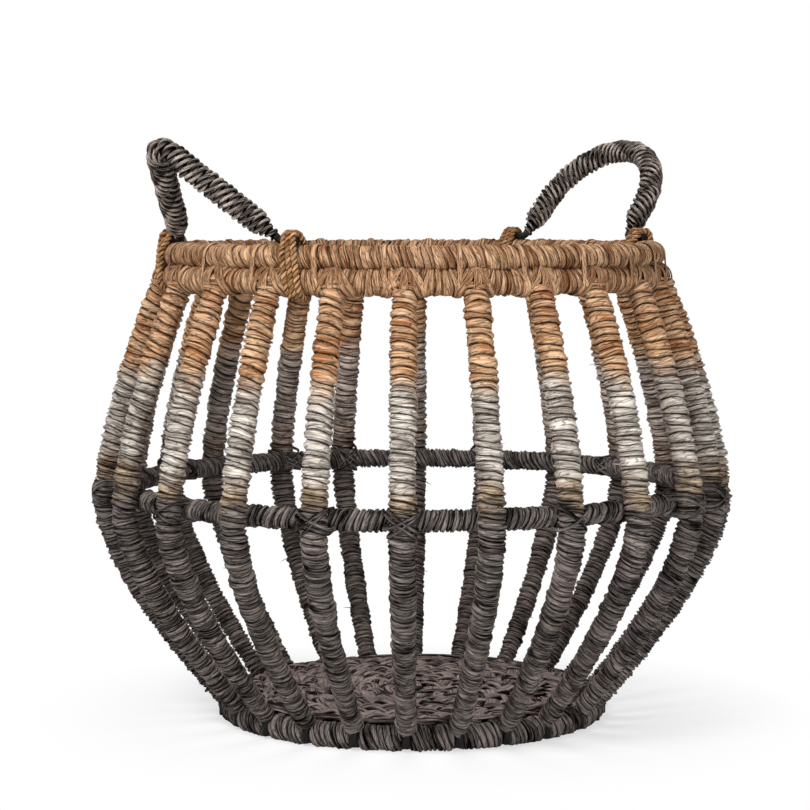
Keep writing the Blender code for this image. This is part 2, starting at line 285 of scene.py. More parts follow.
def sweep(build, path, section, spans, tone=0.5, scale=1.0, crest=1.0):
    """A closed section carried along a path. Scale narrows it, crest marks its raised points; the
    materials darken its low points as painted shade.
    """
    sides = len(section)
    rows = spans if path.closed else spans + 1
    distance = np.arange(rows)[:, None] * path.length / spans
    size = np.broadcast_to(scale, rows)[:, None]
    points = path.place(distance, size * section[:, 0], size * section[:, 1])
    marks = np.tile(np.broadcast_to(crest, sides), rows)
    start = build.add_points(points.reshape(-1, 3), marks, 0.5)
    row, side = np.indices((spans, sides))
    here, after = row * sides, (row + 1) % rows * sides
    beside = (side + 1) % sides
    faces = np.stack([here + side, here + beside, after + beside, after + side], -1)
    girth = marks_along(np.vstack([section, section[:1]]))
    u0 = row * path.length / spans
    u1 = (row + 1) * path.length / spans
    v0, v1 = girth[side], girth[side + 1]
    uv = corner_uv((u0, v0), (u0, v1), (u1, v1), (u1, v0))
    build.add_faces(faces.reshape(-1, 4) + start, tone, uv)
    if not path.closed:
        for end in (start, start + spans * sides):
            build.add_faces([end + np.arange(sides)], tone)


def circle(turn):
    return np.stack([np.cos(turn), np.sin(turn)], -1)


def ellipse(half_width, half_depth, sides=8):
    return circle(full_turn(sides)) * (half_width, half_depth)


def helix(path, distance, turn, radius):
    """A line wound round a path. Its side direction points away from the path."""
    first, second = radius * np.cos(turn), radius * np.sin(turn)
    line = path.place(distance, first, second)
    return Path(line, path.place(distance, 2 * first, 2 * second) - line, path.closed)


def twine(build, path, half, lay, spans, sides=6, spread=0.3):
    """A cord of two plies twisted round a path. Half may change along it."""
    distance = np.linspace(0, path.length, spans + 1)
    distance = distance[:-1] if path.closed else distance
    turns = path.length / lay
    turns = round(turns) if path.closed else turns
    size = np.max(half)
    scale = half / size * np.ones(len(distance))
    for ply in range(2):
        turn = math.tau * (distance / path.length * turns + ply / 2)
        ply_half = size * PLY_SHARE
        sweep(build, helix(path, distance, turn, half), ellipse(ply_half, ply_half, sides), spans,
              tone=0.5 + (ply - 0.5) * spread, scale=scale,
              crest=np.cos(full_turn(sides)) * 0.5 + 0.5)


def cupped_strip(half_width, thickness):
    """Section of a flat strip with soft edges. Its inner side is at zero of the second axis."""
    return np.array([
        (-half_width, 0), (-0.86 * half_width, 0.62 * thickness),
        (-0.4 * half_width, thickness), (0.4 * half_width, 0.92 * thickness),
        (0.86 * half_width, 0.66 * thickness), (half_width, 0), (0, -0.25 * thickness),
    ])


# Raised points of a cupped strip's section; its edges and underside are darkened as painted shade
STRIP_CREST = (0.25, 0.75, 1, 1, 0.75, 0.25, 0)


class Winding:
    """A strip wound round a path, turn beside turn, as one closed surface.

    Radius and pitch are functions of the share along the path, warp and swell of the
    distance along it and the angle round it.
    """

    profile = ROUND_TURN
    spokes = 20
    vary = 0.35  # how unequal the turns' widths are
    jitter = 0.25  # wander of the grooves, as a share of the pitch
    tilt = 0.0  # lean of the turns along the path
    tilt_turn = 0.0  # angle at which they lean furthest
    lump = 0.15  # fine bumps
    fold = 0.3  # unevenness along the strip
    proud = 0.12  # how unequally the turns stand out
    twist = 0.0  # height of the strip's own twist
    twist_rate = 9.5  # twists in a turn
    warp = None  # moves the turns along the path
    swell = None  # adds to the radius
    hand = 1  # -1 winds the other way round

    def __init__(self, path, radius, pitch, depth, seed, **settings):
        self.path, self.radius, self.pitch = path, radius, pitch
        self.depth, self.seed = depth, seed
        vars(self).update(settings)
        self.lay_out()

    def lay_out(self):
        self.fine = fine = np.linspace(0, self.path.length, GROOVE_STEPS)
        middle = (fine[1:] + fine[:-1]) / 2
        wide = self.pitch(middle / fine[-1])
        wide = wide * (1 + self.vary * smooth_noise(middle / (1.6 * wide[0]), self.seed + 17))
        turns = running_sum(np.diff(fine) / wide)
        self.turns = max(3, int(round(turns[-1])))
        self.turn_marks = turns * self.turns / turns[-1]
        self.total = self.spokes * self.turns
        self.period = self.turns if self.path.closed else None
        steps = np.arange(self.total + self.spokes + 1)
        self.grooves = self.spread(self.raw_groove(steps))

    def noise(self, turn, rate, offset):
        period = self.period and int(self.period * rate)
        if period:
            turn = turn * period / self.period / rate
        return smooth_noise(turn * rate, self.seed + offset, period)

    def raw_groove(self, steps):
        turn = steps / self.spokes
        where = np.mod(turn, self.turns) if self.path.closed else np.clip(turn, 0, self.turns)
        base = np.interp(where, self.turn_marks, self.fine)
        base = base + (turn - where) / self.turns * self.path.length
        wide = self.pitch(where / self.turns)
        slow, quick = WANDER_SHARES
        shift = self.noise(turn, 2, 0) * slow + self.noise(turn, 5, 1) * quick
        lean = self.tilt * np.cos(math.tau * turn - self.tilt_turn)
        lean = lean * (1 + 0.35 * self.noise(turn, 0.5, 16))
        fade = 1.0 if self.path.closed else np.clip(np.minimum(turn, self.turns - turn), 0, 1)
        return base + fade * (self.jitter * wide * shift + lean)

    def spread(self, grooves):
        """Keeps each turn at least a share of its pitch wide."""
        least = LEAST_TURN_SHARE * self.path.length / self.turns
        for start in range(self.spokes, self.total + 1, self.spokes):
            here = slice(start, start + self.spokes)
            before = slice(start - self.spokes, start)
            grooves[here] = np.maximum(grooves[here], grooves[before] + least)
        if self.path.closed:
            last = grooves[self.total:self.total + self.spokes] - self.path.length
            grooves[:self.spokes] = np.minimum(grooves[:self.spokes], last)
            grooves[self.total:] = grooves[:self.spokes + 1] + self.path.length
        return grooves

    def surface(self, steps, column):
        drift, height = self.profile[column]
        turn = steps / self.spokes
        here = self.grooves[steps]
        distance = here + (self.grooves[steps + self.spokes] - here) * drift
        angle = math.tau * turn
        if self.warp:
            distance = distance + self.warp(distance, self.hand * angle)
        if not self.path.closed:
            distance = np.clip(distance, 0, self.path.length)
        where = np.clip(distance / self.path.length, 0, 1)
        bump = self.lump * self.noise(turn + drift * 0.4, 9, 2)
        bump = bump + self.fold * self.noise(turn, 2.3, 8 + column)
        lay = turn * self.twist_rate + drift * 1.2 + 0.5 * self.noise(turn, 2, 7)
        bump = bump + self.twist * (1 + self.noise(turn, 1, 6)) * np.sin(math.tau * lay)
        stand = self.proud * self.noise(turn, 1, 3) * min(1.0, height * 3)
        radius = self.radius(where) - self.depth * (1 - height * (1 + bump) - stand)
        if self.swell:
            radius = radius + self.swell(distance, self.hand * angle)
        first = radius * np.cos(angle)
        second = self.hand * radius * np.sin(angle)
        return self.path.place(distance, first, second), np.cos(angle) * 0.5 + 0.5

    def add_to(self, build):
        across, closed = len(self.profile), self.path.closed
        count = self.total if closed else self.total - self.spokes
        starts = []
        for column, (drift, height) in enumerate(self.profile):
            # An open winding's groove runs one turn further, as the last turn's far edge
            rows = count if closed else (count if column else self.total) + 1
            points, facing = self.surface(np.arange(rows), column)
            starts.append(build.add_points(points, height, facing))
        starts = np.array(starts + [starts[0]])
        step, column = np.indices((count, across))

        def vertex(step, column):
            step = step + np.where(column == across, self.spokes, 0)
            if closed:
                step = np.mod(step, self.total)
            return starts[column] + step

        faces = np.stack([vertex(step, column), vertex(step + 1, column),
                          vertex(step + 1, column + 1), vertex(step, column + 1)], -1)
        turn = step / self.spokes
        slow, quick = TONE_SHARES
        tone = 0.5 + slow * self.noise(turn, 1, 4) + quick * self.noise(turn, 3, 5)
        uv = self.strip_uv(step, column)[:, :, ::self.hand]
        build.add_faces(faces.reshape(-1, 4)[:, ::self.hand], tone.ravel(), uv)
        if not closed:
            self.cap(build, vertex, across)

    def strip_uv(self, step, column):
        girth = math.tau * np.mean(self.radius(np.linspace(0, 1, 9)))
        wide = self.path.length / self.turns
        marks = np.array([drift for drift, height in self.profile] + [1.0]) * wide
        u0 = step / self.spokes * girth
        u1 = (step + 1) / self.spokes * girth
        v0, v1 = marks[column], marks[column + 1]
        return corner_uv((u0, v0), (u1, v0), (u1, v1), (u0, v1))

    def cap(self, build, vertex, across):
        last = self.total - self.spokes
        columns = np.arange(1, across)
        loops = (
            (0, np.concatenate([vertex(np.arange(self.spokes + 1), 0), vertex(0, columns[::-1])])),
            (-1, np.concatenate([vertex(np.arange(self.total, last - 1, -1), 0),
                                 vertex(last, columns)])),
        )
        for end, loop in loops:
            middle = build.add_points(self.path.points[end:][:1], 0.3, 0.5)
            loop = loop[::self.hand]
            fan = [(after, here, middle) for here, after in zip(loop, np.roll(loop, -1))]
            build.add_faces(fan, 0.4)


# Materials

# Folds lie further apart than fibres and run slantwise across the strip
FOLD_SHARE = 0.45
FOLD_SHEAR = 0.14
FOLD_STEEPNESS = 9.0
# Painted shade: the creases between folds and the grooves between turns are darkened in the colour
CREASE_WIDTH = 0.045
CREASE_SHADE = 0.3
GROOVE_SHADE = 0.02
FIBRE_HEIGHT = 0.7
CRUMPLE_SCALE = 240.0
CRUMPLE_HEIGHT = 3.2
BLOTCH_SCALE = 46.0
BLOTCH_SHARE = 0.9
DYE_HEIGHT = 0.36
DYE_WANDER = 0.09
DYE_WANDER_SCALE = 9.0

# Ramp stops: share of the dye height, then the screen colour or the grey
RIB_STOPS_LIGHT = (
    (0.505, 136, 126, 121), (0.53, 148, 131, 113), (0.56, 188, 164, 136), (0.60, 224, 216, 205),
    (0.745, 224, 216, 204), (0.80, 216, 180, 143), (0.95, 212, 176, 142),
)
RIB_STOPS_DARK = (
    (0.505, 8, 6, 5), (0.53, 28, 19, 14), (0.56, 62, 44, 30), (0.60, 112, 103, 95),
    (0.745, 122, 109, 98), (0.80, 144, 90, 52), (0.95, 136, 84, 48),
)
# Share of painted light on the ribs' inner sides, by share of the dye height
INNER_LIGHT_STOPS = ((0.51, 0.2), (0.56, 0.75), (0.73, 0.75), (0.79, 0.0))
ROUGHNESS_STOPS = ((0.51, 0.58), (0.57, 0.42), (0.70, 0.44), (0.78, 0.6))
BARKS = {
    "rim_bark": ((100, 57, 27), (208, 168, 132), dict(tone_share=0.65)),
    "dark_bark": ((6, 4, 4), (136, 126, 121), dict(contrast=3.2, flank_shade=0.08)),
    "mat_weave": ((8, 5, 5), (166, 149, 144), dict(
        along=45.0, across=1000.0, contrast=3.3, tone_share=1.4, flank_shade=0.08)),
    "handle_cord": ((44, 36, 33), (190, 175, 165), {}),
    "tan_rope": ((104, 63, 34), (210, 164, 120), {}),
}


def paint(red, green, blue):
    """A screen colour from 0 to 255 as the linear colour that a shader takes."""
    def linear(value):
        value = value / 255
        return value / 12.92 if value <= 0.04045 else ((value + 0.055) / 1.055) ** 2.4
    return (linear(red), linear(green), linear(blue), 1)


def grey(value):
    return (value, value, value, 1)


class Nodes:
    """A node tree, with short calls for its nodes."""

    def __init__(self, tree):
        self.tree = tree

    def node(self, kind, inputs=None, **settings):
        made = self.tree.nodes.new(f"ShaderNode{kind}")
        for key, value in settings.items():
            setattr(made, key, value)
        self.fill(made, inputs or {})
        return made.outputs

    def fill(self, made, inputs):
        for key, value in inputs.items():
            if isinstance(value, bpy.types.NodeSocket):
                self.tree.links.new(value, made.inputs[key])
            else:
                made.inputs[key].default_value = value

    def math(self, operation, first, second=0.0, clamp=False):
        return self.node("Math", {0: first, 1: second}, operation=operation, use_clamp=clamp)[0]

    def add(self, first, second, clamp=False):
        return self.math("ADD", first, second, clamp)

    def multiply(self, first, second):
        return self.math("MULTIPLY", first, second)

    def centred(self, value, scale):
        """A value from 0 to 1 moved to lie about zero, and scaled."""
        return self.multiply(self.math("SUBTRACT", value, 0.5), scale)

    def mix(self, share, first, second, blend="MIX"):
        return self.node("Mix", {0: share, 6: first, 7: second},
                         data_type="RGBA", blend_type=blend)[2]

    def ramp(self, share, stops):
        """A colour ramp from stops of a place and a colour, or of a place and a grey."""
        outputs = self.node("ValToRGB", {"Fac": share})
        ramp = outputs[0].node.color_ramp
        for index, (place, colour) in enumerate(stops):
            stop = ramp.elements[index] if index < 2 else ramp.elements.new(place)
            stop.position = place
            stop.color = colour if isinstance(colour, tuple) else grey(colour)
        return outputs[0]

    def attribute(self, name):
        return self.node("Attribute", attribute_name=name)["Fac"]

    def place(self):
        return self.node("TexCoord")["Object"]

    def noise(self, vector, scale, detail=2.0):
        return self.node("TexNoise", {"Vector": vector, "Scale": scale, "Detail": detail})["Fac"]

    def bump(self, height, strength, distance):
        return self.node("Bump", {"Height": height, "Strength": strength, "Distance": distance})[0]

    def seen(self):
        """One for rays from the camera, straight or by way of metal and glass."""
        rays = self.node("LightPath")
        seen = self.add(rays["Is Camera Ray"], rays["Is Glossy Ray"], clamp=True)
        return self.add(seen, rays["Is Transmission Ray"], clamp=True)


class Shader(Nodes):
    """One material and its surface shader."""

    def __init__(self, name, kind="BsdfPrincipled"):
        self.material = bpy.data.materials.new(name)
        self.material.use_nodes = True
        super().__init__(self.material.node_tree)
        self.tree.nodes.clear()
        output = self.tree.nodes.new("ShaderNodeOutputMaterial")
        self.surface = self.tree.nodes.new(f"ShaderNode{kind}")
        self.tree.links.new(self.surface.outputs[0], output.inputs["Surface"])

    def finish(self, inputs):
        self.fill(self.surface, inputs)
        return self.material


def fibre_vector(shader, along, across, shear=0.0):
    """Strip coordinates stretched along the strip. Shear runs them slantwise across it."""
    strip = shader.node("UVMap", uv_map="strip")[0]
    parts = shader.node("SeparateXYZ", {0: strip})
    slant = shader.multiply(parts[0], across * shear)
    return shader.node("CombineXYZ", {
        0: shader.multiply(parts[0], along),
        1: shader.add(shader.multiply(parts[1], across), slant),
    })[0]


def bark_material(name, dark, light, roughness=0.7, along=60.0, across=1050.0,
                  contrast=2.6, tone_share=0.9, flank_shade=0.2):
    """Dried bark or cord. Its looks are values, or functions from the shader to them."""
    shader = Shader(name)
    place = shader.place()
    blotch = shader.noise(place, BLOTCH_SCALE)

    def known(value):
        return value(shader, place, blotch) if callable(value) else value

    fibre = shader.noise(fibre_vector(shader, along, across), 1.0, 3.0)
    folds = shader.noise(fibre_vector(shader, along, across * FOLD_SHARE, FOLD_SHEAR), 1.0, 1.0)
    valley = shader.math("ABSOLUTE", shader.math("SUBTRACT", folds, 0.5))
    share = shader.add(shader.centred(fibre, contrast), 0.5)
    share = shader.add(share, shader.centred(shader.attribute("tone"), tone_share))
    share = shader.add(share, shader.centred(blotch, BLOTCH_SHARE), clamp=True)
    colour = shader.mix(share, known(dark), known(light))
    # Painted shade: darkens the grooves between turns, the turns' flanks and the creases between
    # folds, with some dirt in the grooves
    for value, stops in (
        (shader.attribute("crest"), ((0.0, GROOVE_SHADE), (0.35, flank_shade), (0.65, 0.7), (0.9, 1.0))),
        (valley, ((0.0, CREASE_SHADE), (CREASE_WIDTH, 1.0))),
    ):
        colour = shader.mix(1.0, colour, shader.ramp(value, stops), "MULTIPLY")
    height = shader.math("MINIMUM", shader.multiply(valley, FOLD_STEEPNESS), 1.0)
    height = shader.add(height, shader.multiply(fibre, FIBRE_HEIGHT))
    crumple = shader.noise(place, CRUMPLE_SCALE)
    height = shader.add(height, shader.multiply(crumple, CRUMPLE_HEIGHT))
    return shader.finish({
        "Base Color": colour, "Roughness": known(roughness), "Specular IOR Level": 0.02,
        "Normal": shader.bump(height, 1.0, 0.5 * MM),
    })


def dye_share(shader, place):
    height = shader.node("SeparateXYZ", {0: place})[2]
    return shader.math("DIVIDE", height, DYE_HEIGHT)


def dyed(stops, inside):
    """A colour that changes with height as dip-dyed bark does, mixed on the inner side towards a
    second colour as painted light.
    """
    stops = [(share, paint(*colour)) for share, *colour in stops]

    def colour(shader, place, blotch):
        wander = shader.centred(shader.noise(place, DYE_WANDER_SCALE), DYE_WANDER)
        share = shader.add(dye_share(shader, place), shader.centred(blotch, DYE_WANDER))
        share = shader.add(share, wander)
        # Painted light: the side facing into the basket is mixed towards the inner colour, as the
        # lit inner faces of the far ribs
        away = shader.math("SUBTRACT", 1.0, shader.attribute("facing"), clamp=True)
        inner = shader.multiply(shader.ramp(share, INNER_LIGHT_STOPS), away)
        return shader.mix(inner, shader.ramp(share, stops), paint(*inside))
    return colour


def dyed_roughness(shader, place, blotch):
    return shader.ramp(dye_share(shader, place), ROUGHNESS_STOPS)


def iron_material():
    shader = Shader("black_iron")
    speck = shader.noise(shader.place(), 900.0, 3.0)
    return shader.finish({
        "Base Color": shader.ramp(speck, ((0.3, paint(9, 9, 9)), (0.75, paint(30, 27, 25)))),
        "Metallic": 0.3, "Roughness": 0.55, "Specular IOR Level": 0.2,
        "Normal": shader.bump(speck, 0.3, 0.2 * MM),
    })


def make_materials():
    made = {
        name: bark_material(name, paint(*dark), paint(*light), **looks)
        for name, (dark, light, looks) in BARKS.items()
    }
    # The second colour of each is painted light on the ribs' inner sides
    made["rib_bark"] = bark_material(
        "rib_bark", dyed(RIB_STOPS_DARK, (80, 64, 58)), dyed(RIB_STOPS_LIGHT, (206, 184, 172)),
        roughness=dyed_roughness, contrast=3.0, tone_share=0.55,
    )
    made["black_iron"] = iron_material()
    return made


# Pieces

def finish_piece(build, name, slot, *nodes, body="cage"):
    item = build.object(name)
    item.data.materials.append(materials[slot])
    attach(item, body)
    if nodes:
        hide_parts(*nodes)


def finish_winding(winding, slot, node):
    """Makes the piece of a winding, flattened where it would pass through the floor."""
    build = Build()
    winding.add_to(build)
    build.rest_on_floor()
    finish_piece(build, f"wound_{node}", slot, node)


# Ribs

RIB_NECK = 0.86
RIB_HEAD_SHARE = 0.88
# The pointed head beyond the rib's end: outward and upward in mm, share of the half thickness
RIB_NOSE = np.array([(0.7, 3, 0.8), (1.8, 6.5, 0.62), (2.6, 9.0, 0.4)])
RIB_STAND = 0.8 * MM
RIB_PITCH_WANDER = 0.12
RIB_PITCH_STEP = 2.4
RIB_PITCH_HEIGHTS = np.array((20, 170, 190, 270, 340)) * MM
RIB_PITCHES = np.array((3.7, 4.1, 5.3, 5.8, 6.2)) * MM
RIB_WINDING = dict(
    depth=2 * MM, jitter=0.52, lump=0.2, proud=0.36, fold=0.38, tilt=0.35 * MM,
    tilt_turn=90 * DEGREE, twist=0.16, twist_rate=2.7, hand=-1,
)


def rib_line():
    """Distance from the axis, height and half thickness of a rib, from foot to pointed head."""
    head_radius = LOWER_RIM_RADIUS + RIB_HEAD_OVERHANG
    head_height = LOWER_RIM_HEIGHT - RIB_HEAD_DROP
    foot_radius = BASE_RADIUS + RIB_FOOT_OVERHANG
    up = np.linspace(0, 1, 60)
    shoulder_out = RIB_BELLY_RADIUS - (RIB_BELLY_RADIUS - head_radius) * up ** RIB_SHOULDER_POWER
    shoulder_up = RIB_BELLY_HEIGHT + (head_height - RIB_BELLY_HEIGHT) * up
    down = up[:0:-1]
    flank_out = RIB_BELLY_RADIUS - (RIB_BELLY_RADIUS - foot_radius) * down ** RIB_FLANK_POWER
    flank_up = RIB_BELLY_HEIGHT - (RIB_BELLY_HEIGHT - RIB_FOOT_HEIGHT) * down
    nose_out, nose_up, nose_half = (RIB_NOSE * (MM, MM, RIB_HALF)).T
    return (
        np.concatenate([flank_out, shoulder_out, head_radius + nose_out]),
        np.concatenate([flank_up, shoulder_up, head_height + nose_up]),
        np.concatenate([
            RIB_HALF + (RIB_FOOT_HALF - RIB_HALF) * down,
            np.interp(up, (0, RIB_NECK, 1), (RIB_HALF, RIB_HALF, RIB_HALF * RIB_HEAD_SHARE)),
            nose_half,
        ]),
    )


def wound_rib(index, angle, out, up, half):
    path = Path(turned(out, up, angle), turned(1, 0, angle))
    shares = path.marks / path.length
    wander = 1 + RIB_PITCH_WANDER * math.sin(index * RIB_PITCH_STEP)

    def radius(share):
        return np.interp(share, shares, half) + RIB_STAND

    def pitch(share):
        height = np.interp(share, shares, up)
        return wander * np.interp(height, RIB_PITCH_HEIGHTS, RIB_PITCHES)

    return Winding(path, radius, pitch, seed=100 + index * 20, **RIB_WINDING)


def make_ribs():
    line = rib_line()
    for index, angle in enumerate(rib_angles):
        finish_winding(wound_rib(index, angle, *line), "rib_bark", f"rib_{index + 1:02d}")


def make_rib_feet():
    """The bare rod ends below the ribs' wrapping."""
    build = Build()
    for angle in rib_angles:
        line = turned(BASE_RADIUS + RIB_ROD_OVERHANG, RIB_ROD_HEIGHTS, angle)
        sweep(build, Path(line, turned(1, 0, angle)), ellipse(RIB_ROD_HALF, RIB_ROD_HALF, 12), 2)
    finish_piece(build, "rib_rod_feet", "black_iron")


# Rings

def near_ribs(distance, radius):
    """Signed distance along a ring to the nearest rib."""
    around = math.tau * radius
    gaps = distance[..., None] - rib_angles * radius
    gaps = np.mod(gaps + around / 2, around) - around / 2
    nearest = np.argmin(np.abs(gaps), axis=-1, keepdims=True)
    return np.take_along_axis(gaps, nearest, -1)[..., 0]


def rim_warp(distance, angle, push=8 * MM, ease=3 * MM, width=16 * MM):
    """Below a rib's head the turns are pushed apart, so that they lean towards it above."""
    gap = near_ribs(distance, LOWER_RIM_RADIUS)
    low = np.clip(0.35 - 0.75 * np.sin(angle), 0, 1)
    return push * gap / (np.abs(gap) + ease) * np.exp(-(gap / width) ** 2) * low


def rim_swell(distance, angle, height=1.5 * MM, middle=9 * MM, width=7 * MM):
    """The winding piles up round a rib's head."""
    gap = np.abs(near_ribs(distance, LOWER_RIM_RADIUS))
    outer = np.clip(0.4 + 0.6 * np.cos(angle), 0, 1)
    return height * np.exp(-((gap - middle) / width) ** 2) * outer


def base_swell(distance, angle, height=0.7 * MM, middle=9 * MM, width=5 * MM,
               slot_depth=6 * MM, slot_half=3.3 * MM):
    """The winding leaves a slot at each rib's bare foot and piles up beside it."""
    gap = np.abs(near_ribs(distance, BASE_RADIUS))
    outer = np.clip(0.3 + np.cos(angle), 0, 1)
    slot = np.exp(-(gap / slot_half) ** 4) * outer
    return height * np.exp(-((gap - middle) / width) ** 2) - slot_depth * slot


RIM_LOOKS = dict(profile=FLAT_TURN, spokes=24, lump=0.25, proud=0.4, tilt_turn=-90 * DEGREE,
                 twist=0.1, twist_rate=2.7, hand=-1)
# Radius and height of the ring, half thickness of its winding, pitch, looks
RING_WINDINGS = {
    "lower_rim_ring": (LOWER_RIM_RADIUS, LOWER_RIM_HEIGHT, 10 * MM, 6.2 * MM, dict(
        depth=1.6 * MM, seed=11, jitter=0.36, tilt=1.5 * MM, warp=rim_warp, swell=rim_swell,
        **RIM_LOOKS)),
    "upper_rim_ring": (UPPER_RIM_RADIUS, upper_rim_height, 9 * MM, 6.6 * MM, dict(
        depth=1.4 * MM, seed=31, jitter=0.4, tilt=3.4 * MM, **RIM_LOOKS)),
    "belly_hoop": (hoop_radius, hoop_height, hoop_half + 0.4 * MM, 4.3 * MM, dict(
        depth=1.8 * MM, seed=51, jitter=0.35, proud=0.35, tilt=3.2 * MM,
        tilt_turn=-90 * DEGREE, twist=0.22, twist_rate=6)),
    "base_ring": (BASE_RADIUS, base_height, 9.6 * MM, 4.3 * MM, dict(
        depth=1.8 * MM, seed=71, jitter=0.4, lump=0.2, proud=0.3, tilt=2.4 * MM,
        tilt_turn=90 * DEGREE, swell=base_swell, twist=0.15, twist_rate=4)),
}


def constant(value):
    return lambda share: value + 0 * share


def make_rings():
    for node, (radius, height, half, pitch, looks) in RING_WINDINGS.items():
        winding = Winding(ring_path(radius, height), constant(half), constant(pitch), **looks)
        finish_winding(winding, "rim_bark" if "rim" in node else "dark_bark", node)


# Strips round the rim

RIM_CIRCLES = (
    (LOWER_RIM_RADIUS, LOWER_RIM_HEIGHT, LOWER_RIM_HALF),
    (UPPER_RIM_RADIUS, upper_rim_height, UPPER_RIM_HALF),
)
TIE_SEAT = 0.5 * MM
TIE_THICKNESS = 1.1 * MM
TIE_OFFSETS = (0.06, 0.075)
TIE_SLANTS = (-0.028, 0.012)
TIE_INNER_SLANT = -0.4
TIE_SPANS = 96
HEAD_STRIP_TOPS = (62, 84)
HEAD_STRIP_END = -128


def hull(circles, seat, count, fine=720):
    """A closed line round circles given as distance, height and radius, evenly spaced."""
    heading = circle(full_turn(fine))
    circles = np.array(circles)
    centres, radii = circles[:, :2], circles[:, 2]
    nearest = np.argmax(heading @ centres.T + radii, axis=1)
    line = centres[nearest] + heading * (radii[nearest] + seat)[:, None]
    line = np.vstack([line, line[:1]])
    marks = marks_along(line)
    even = np.linspace(0, marks[-1], count + 1)[:-1]
    return np.array([np.interp(even, marks, column) for column in line.T])


def make_rim_ties():
    """Flat strips of bark round both rim rings, one beside each rib."""
    build = Build()
    draw = np.random.default_rng(5).uniform
    out, up = hull(RIM_CIRCLES, TIE_SEAT, TIE_SPANS)
    slant_share = (up - up.min()) / np.ptp(up) - 0.5
    slant_share = slant_share * np.where(out > LOWER_RIM_RADIUS, 1, TIE_INNER_SLANT)
    for angle in rib_angles:
        place = angle - draw(*TIE_OFFSETS) + draw(*TIE_SLANTS) * slant_share
        section = cupped_strip(draw(1.7, 2.6) * MM, TIE_THICKNESS) * (1, -1)
        sweep(build, Path(turned(out, up, place), sideways(place), closed=True), section,
              TIE_SPANS, tone=draw(0.35, 0.8), crest=STRIP_CREST)
    finish_piece(build, "rim_ties", "rim_bark")


def lower_ring_strip(build, turn, reach, place, half_width, **looks):
    """A strip laid over the lower ring, at a reach from the middle of the ring's section."""
    points = turned(LOWER_RIM_RADIUS + reach * np.cos(turn),
                    LOWER_RIM_HEIGHT + reach * np.sin(turn), place)
    sweep(build, Path(points, sideways(place)), cupped_strip(half_width * MM, MM),
          crest=STRIP_CREST, **looks)


def head_strip(build, draw, angle, side_sign, layer):
    """A strip from above a rib's head down one of its sides and under the lower ring."""
    turn = np.linspace(draw(*HEAD_STRIP_TOPS), HEAD_STRIP_END, 26) * DEGREE
    drop_share = (turn[0] - turn) / (turn[0] - turn[-1])
    apex = draw(-1.5, 1.5) + layer * 2.6
    spread = draw(9.5, 12.5) + layer * draw(2, 3.6)
    gap = apex + (spread - apex) * np.minimum(drop_share * draw(1.5, 2), 1)
    reach = LOWER_RIM_HALF + (0.9 - 0.5 * layer) * MM + 1.4 * MM * np.exp(-(gap / 8) ** 2)
    place = angle + side_sign * gap * MM / LOWER_RIM_RADIUS
    lower_ring_strip(build, turn, reach, place, draw(1.7, 3.1), spans=22,
                     tone=draw(0.15, 0.8), scale=np.minimum(1, np.linspace(0.35, 6, 23)))


def head_cap(build, draw, angle):
    """A short strip straight down over a rib's head."""
    turn = np.linspace(72, -24, 14) * DEGREE
    reach = LOWER_RIM_HALF + (1.4 + 2.6 * np.sin(np.linspace(0, 1.7, 14))) * MM
    place = angle + draw(-1, 1) * MM / LOWER_RIM_RADIUS
    lower_ring_strip(build, turn, reach, place, draw(2.4, 3.2), spans=13,
                     tone=draw(0.3, 0.7), scale=np.linspace(0.6, 1.3, 14))


def make_head_strips():
    """Strips that run from above each rib's head down both its sides and under the lower ring."""
    build = Build()
    draw = np.random.default_rng(8).uniform
    for angle in rib_angles:
        for side_sign in (-1, 1):
            for layer in range(2):
                head_strip(build, draw, angle, side_sign, layer)
        head_cap(build, draw, angle)
    finish_piece(build, "rib_head_strips", "rim_bark")


# Bindings of the hoop

BINDING_SPANS = 56
BINDING_SEAT = 0.8 * MM
BINDING_RISE = 1.7 * MM
BINDING_SHIFT = 0.8 * MM
BINDING_HALF_DEPTH = 0.85 * MM
# Rows of strips on one rib after another
BINDING_ROWS = ((-1, 1), (), (0,), (), (-1, 1))


def crossing_line():
    """A loop round a rib and the hoop in a plane between them: offsets across and outward."""
    heading = circle(full_turn(BINDING_SPANS))
    lines, reaches = [], []
    for centre, half in ((RIB_BELLY_RADIUS - 0.1 * MM, RIB_HALF), (hoop_radius, hoop_half)):
        size = np.array((half * math.sqrt(2), half))
        reach = np.linalg.norm(heading * size, axis=1)
        lines.append(heading * size ** 2 / reach[:, None] + (0, centre))
        reaches.append(reach + heading[:, 1] * centre)
    outer = (reaches[0] > reaches[1])[:, None]
    return (np.where(outer, lines[0], lines[1]) + heading * BINDING_SEAT).T


def make_crossings():
    """Strips that bind some of the ribs to the belly hoop in a cross."""
    build = Build()
    draw = np.random.default_rng(3).uniform
    across, out = crossing_line()
    for index, angle in enumerate(rib_angles):
        for lean in (-1, 1):
            for row in BINDING_ROWS[index % len(BINDING_ROWS)]:
                share = draw(0.35, 0.72)
                shift = across * math.sqrt(1 - share ** 2) - lean * row * BINDING_SHIFT
                up = hoop_height + lean * across * share + row * BINDING_RISE
                path = Path(turned(out, up, angle + shift / out), (0, 0, 1), closed=True)
                section = ellipse(draw(1.2, 1.7) * MM, BINDING_HALF_DEPTH)
                sweep(build, path, section, BINDING_SPANS, tone=draw(0.1, 0.6),
                      crest=(0.3, 0.8, 1, 0.8) * 2)
    finish_piece(build, "hoop_bindings", "dark_bark")


# Mat

